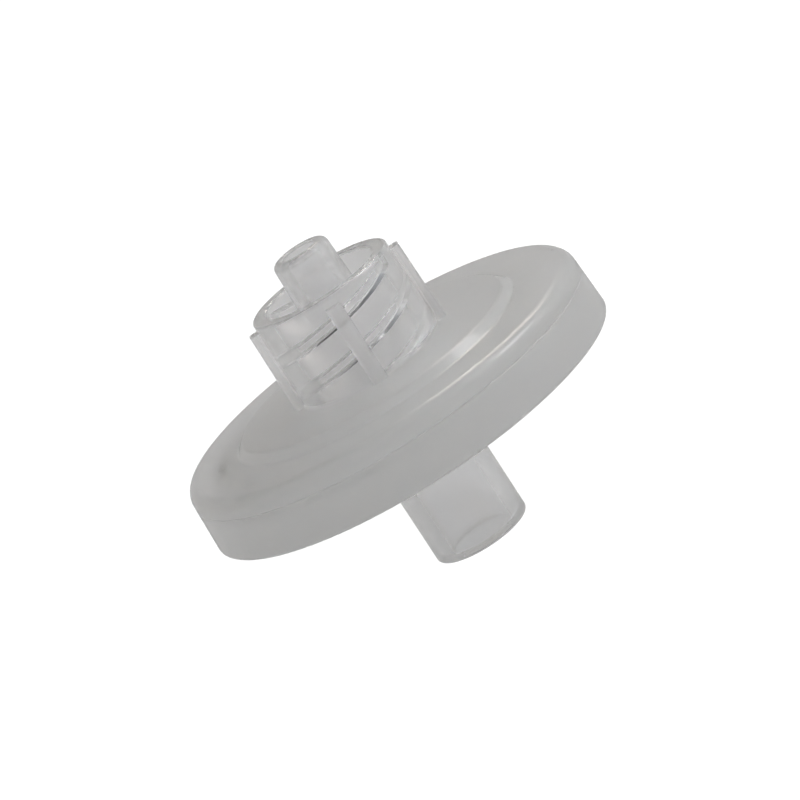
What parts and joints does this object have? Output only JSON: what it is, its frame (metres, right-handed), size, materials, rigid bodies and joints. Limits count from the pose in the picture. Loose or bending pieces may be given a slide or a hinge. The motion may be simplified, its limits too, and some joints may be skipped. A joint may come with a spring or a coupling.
{
  "type": "syringe filter",
  "caption": "Round welded syringe filter with a male luer lock above and a plain tubing port below.",
  "frame": {"origin": "centre of the tube's flat end, on which the filter stands", "axes": "+Z along the filter's axis, from the tube's end up to the luer tip; +X through one of the four grip ribs"},
  "size_m": [0.03, 0.03, 0.0228],
  "materials": {
    "lower_moulding": "uncoloured clear moulded plastic, slightly milky",
    "membrane": "matte white porous film",
    "upper_moulding": "uncoloured clear moulded plastic, slightly milky"
  },
  "bodies": {
    "root": {"lower_housing": "lower_moulding", "membrane": "membrane", "upper_housing": "upper_moulding"}
  },
  "joints": []
}
